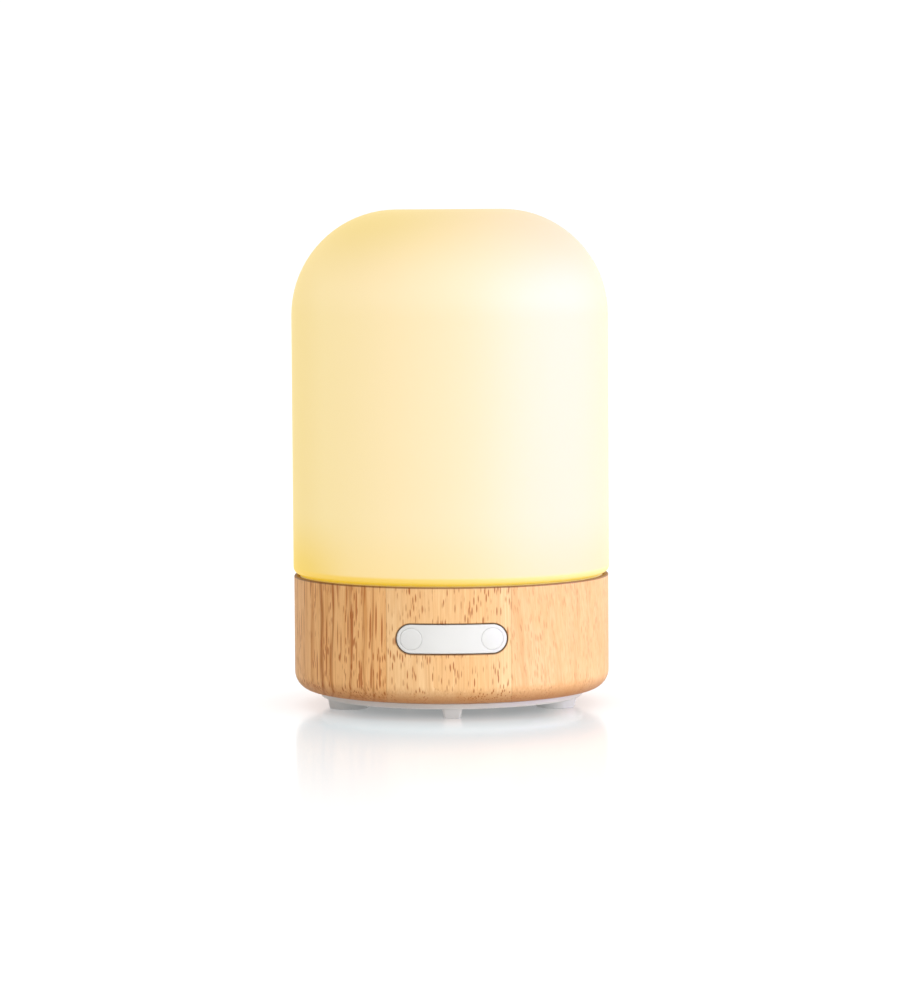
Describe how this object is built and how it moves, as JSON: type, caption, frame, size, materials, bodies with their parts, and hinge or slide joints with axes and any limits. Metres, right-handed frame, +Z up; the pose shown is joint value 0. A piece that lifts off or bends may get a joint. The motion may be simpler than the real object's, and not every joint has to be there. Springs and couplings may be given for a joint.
{
  "type": "essential oil diffuser",
  "caption": "Tabletop aroma diffuser: frosted lit dome over a water tank on a turned wood ring, with press keys, fan and ultrasonic disc inside.",
  "frame": {"origin": "centre of the plane that the feet stand on, on the axis of the dome", "axes": "+Z up along the axis of the dome, -Y towards the front with the keys, +X to the right seen from the front"},
  "size_m": [0.09, 0.09, 0.141],
  "materials": {
    "frosted_glass": "frosted translucent shell lit from inside, satin outside",
    "rubberwood": "laminated light rubberwood, satin oil finish",
    "white_plastic": "white moulded ABS, fine matte",
    "milky_plastic": "translucent milky polypropylene",
    "silicone": "pale silicone",
    "board_green": "green solder mask on glass-fibre board",
    "black_plastic": "black moulded plastic",
    "led_package": "yellow phosphor LED package",
    "steel": "plated steel",
    "brass": "bright brass",
    "copper": "enamelled copper winding",
    "aluminium": "bare aluminium",
    "red_wire": "red insulated lead",
    "black_wire": "black insulated lead",
    "ribbon_grey": "grey flat cable"
  },
  "bodies": {
    "base": {"tank_housing": "milky_plastic", "wood_ring": "rubberwood", "bottom_cover": "white_plastic", "button_plate": "white_plastic", "air_plenum": "white_plastic", "transducer_retainer": "white_plastic", "foot_front": "silicone", "foot_right": "silicone", "foot_left": "silicone", "foot_rear_right": "silicone", "foot_rear_left": "silicone", "transducer_seal": "silicone", "base_screw_1": "steel", "base_screw_2": "steel", "base_screw_3": "steel", "base_screw_4": "steel", "button_board_screw_1": "steel", "button_board_screw_2": "steel", "retainer_screw_1": "steel", "retainer_screw_2": "steel", "retainer_screw_3": "steel", "fan_screw_1": "steel", "fan_screw_2": "steel", "board_screw_1": "steel", "board_screw_2": "steel", "transducer_disc": "steel", "light_switch": "black_plastic", "mist_switch": "black_plastic", "fan_frame": "black_plastic", "controller_chip": "black_plastic", "power_transistor": "black_plastic", "dc_jack": "black_plastic", "button_board": "board_green", "led_board": "board_green", "main_board": "board_green", "led_1": "led_package", "led_2": "led_package", "led_3": "led_package", "led_4": "led_package", "led_5": "led_package", "led_6": "led_package", "fan_stator": "copper", "inductor": "copper", "capacitor_1": "aluminium", "capacitor_2": "aluminium", "heat_sink": "aluminium", "dc_jack_pin": "brass", "fan_lead": "red_wire", "led_lead": "red_wire", "transducer_lead": "black_wire", "jack_lead": "black_wire", "button_ribbon": "ribbon_grey"},
    "guide": {"mist_guide": "milky_plastic"},
    "dome": {"dome_cover": "frosted_glass"},
    "light_key": {"light_button": "white_plastic"},
    "mist_key": {"mist_button": "white_plastic"},
    "light_plunger": {"light_switch_plunger": "white_plastic"},
    "mist_plunger": {"mist_switch_plunger": "white_plastic"},
    "fan_wheel": {"fan_rotor": "black_plastic"}
  },
  "joints": [
    {"name": "guide_lift", "type": "slide", "parent": "base", "child": "guide", "axis": [0, 0, 1], "range_m": [0, 0.04]},
    {"name": "dome_lift", "type": "slide", "parent": "guide", "child": "dome", "axis": [0, 0, 1], "range_m": [0, 0.105]},
    {"name": "light_key_press", "type": "slide", "parent": "base", "child": "light_key", "axis": [0, 1, 0], "range_m": [0, 0.0006], "stiffness_N_per_m": 2500},
    {"name": "mist_key_press", "type": "slide", "parent": "base", "child": "mist_key", "axis": [0, 1, 0], "range_m": [0, 0.0006], "stiffness_N_per_m": 2500},
    {"name": "light_plunger_press", "type": "slide", "parent": "base", "child": "light_plunger", "axis": [0, 1, 0], "range_m": [0, 0.0003]},
    {"name": "mist_plunger_press", "type": "slide", "parent": "base", "child": "mist_plunger", "axis": [0, 1, 0], "range_m": [0, 0.0003]},
    {"name": "fan_spin", "type": "hinge", "parent": "base", "child": "fan_wheel", "pos_m": [0, 0.011, 0.0078], "axis": [0, 0, 1], "continuous": true}
  ],
  "couplings": [
    {"joint": "light_plunger_press", "follows": "light_key_press", "ratio": 0.5},
    {"joint": "mist_plunger_press", "follows": "mist_key_press", "ratio": 0.5}
  ]
}
